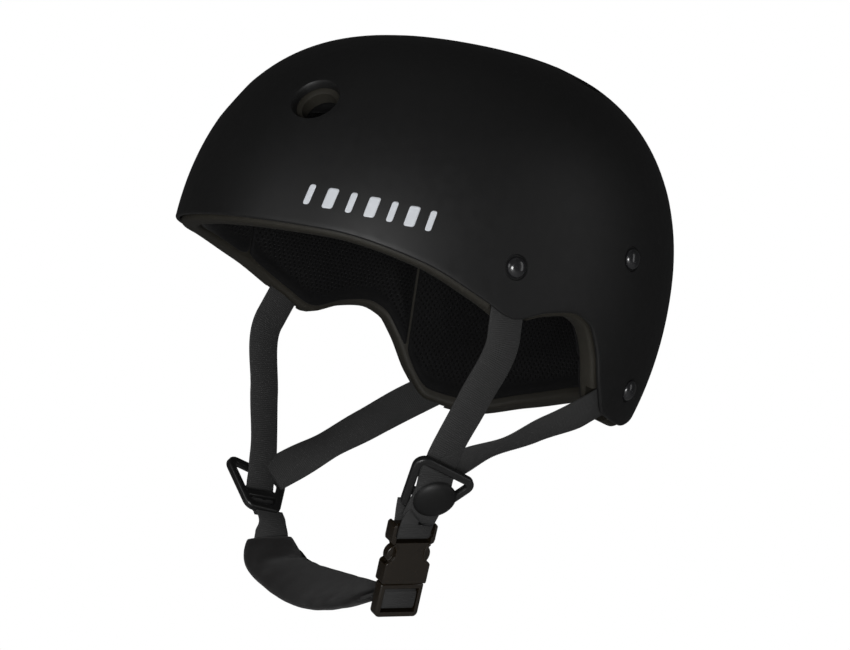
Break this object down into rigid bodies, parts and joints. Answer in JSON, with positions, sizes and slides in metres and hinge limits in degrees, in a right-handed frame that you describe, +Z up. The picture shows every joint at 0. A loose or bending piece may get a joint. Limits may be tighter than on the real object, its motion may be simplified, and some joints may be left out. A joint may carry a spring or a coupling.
{
  "type": "water helmet",
  "caption": "Hard-shell water sports helmet with round vents, foam liner and mesh pads, riveted webbing harness with strap dividers, side-release buckle and padded chin strap.",
  "frame": {"origin": "centre of the head opening, at the height of the front rim", "axes": "-Y is the front (the wearer's face), +X is the wearer's left (the buckle's side), +Z is up through the crown"},
  "size_m": [0.2284, 0.2882, 0.3268],
  "materials": {
    "shell_black": "satin, fine texture",
    "foam_black": "smooth moulded closed-cell foam",
    "pad_mesh_black": "open spacer mesh with a smooth binding",
    "rivet_black": "gloss black",
    "washer_steel": "plain",
    "webbing_black": "ribbed woven webbing",
    "buckle_black": "gloss",
    "cap_black": "matte",
    "neoprene_black": "brushed, soft"
  },
  "bodies": {
    "shell": {"outer_shell": "shell_black", "foam_liner": "foam_black", "front_pad": "pad_mesh_black", "side_pad_left": "pad_mesh_black", "side_pad_right": "pad_mesh_black", "rear_pad": "pad_mesh_black", "crown_pad": "pad_mesh_black", "rivet_front_left": "rivet_black", "rivet_front_right": "rivet_black", "rivet_upper_rear_left": "rivet_black", "rivet_upper_rear_right": "rivet_black", "rivet_lower_rear_left": "rivet_black", "rivet_lower_rear_right": "rivet_black", "washer_front_left": "washer_steel", "washer_front_right": "washer_steel", "washer_upper_rear_left": "washer_steel", "washer_upper_rear_right": "washer_steel", "washer_lower_rear_left": "washer_steel", "washer_lower_rear_right": "washer_steel", "strap_end_front_left": "webbing_black", "strap_end_front_right": "webbing_black", "strap_end_rear_left": "webbing_black", "strap_end_rear_right": "webbing_black"},
    "left_straps": {"front_strap_left": "webbing_black", "rear_strap_left": "webbing_black", "divider_frame_left": "buckle_black", "divider_cap_left": "cap_black"},
    "right_straps": {"front_strap_right": "webbing_black", "rear_strap_right": "webbing_black", "divider_frame_right": "buckle_black", "divider_cap_right": "cap_black"},
    "chin_loop": {"lower_strap_left": "webbing_black", "buckle_body": "buckle_black", "chin_strap": "webbing_black"},
    "buckle_clip": {"buckle_clip": "buckle_black", "clip_loop": "webbing_black"},
    "prong_front": {"prong_front": "buckle_black"},
    "prong_rear": {"prong_rear": "buckle_black"},
    "chin_pad": {"chin_pad": "neoprene_black", "chin_pad_flap": "neoprene_black"}
  },
  "joints": [
    {"name": "left_strap_swing", "type": "hinge", "parent": "shell", "child": "left_straps", "pos_m": [0.10398, -0.0162, -0.03945], "axis": [-0.2048, 0.8999, -0.3851], "range_deg": [-10, 10]},
    {"name": "right_strap_swing", "type": "hinge", "parent": "shell", "child": "right_straps", "pos_m": [-0.10218, -0.03542, -0.041], "axis": [0.1583, 0.9297, -0.3326], "range_deg": [-9.52, 9.52]},
    {"name": "chin_loop_pivot", "type": "hinge", "parent": "left_straps", "child": "chin_loop", "pos_m": [0.08006, -0.03517, -0.14547], "axis": [-0.1712, 0.9648, -0.1998], "range_deg": [-12.76, 12.76]},
    {"name": "buckle_release", "type": "slide", "parent": "chin_loop", "child": "buckle_clip", "axis": [-0.3599, 0.162, -0.9188], "range_m": [0, 0.02], "deforming": ["prong_front", "prong_rear"]},
    {"name": "prong_front_press", "type": "hinge", "parent": "buckle_clip", "child": "prong_front", "pos_m": [0.06232, -0.03924, -0.18217], "axis": [-0.9311, 0, 0.3647], "range_deg": [0, 6], "stiffness_Nm_per_rad": 0.4},
    {"name": "prong_rear_press", "type": "hinge", "parent": "buckle_clip", "child": "prong_rear", "pos_m": [0.0634, -0.02108, -0.17939], "axis": [0.9311, 0, -0.3647], "range_deg": [0, 6], "stiffness_Nm_per_rad": 0.4},
    {"name": "chin_pad_slide", "type": "hinge", "parent": "chin_loop", "child": "chin_pad", "pos_m": [0.0043, -0.032, 0.026], "axis": [0, 1, 0], "range_deg": [-0.8, 0.4]}
  ],
  "couplings": [
    {"joint": "right_strap_swing", "follows": "left_strap_swing", "ratio": 0.9018},
    {"joint": "chin_loop_pivot", "follows": "left_strap_swing", "ratio": -1.2258},
    {"joint": "prong_rear_press", "follows": "prong_front_press", "ratio": 1}
  ]
}
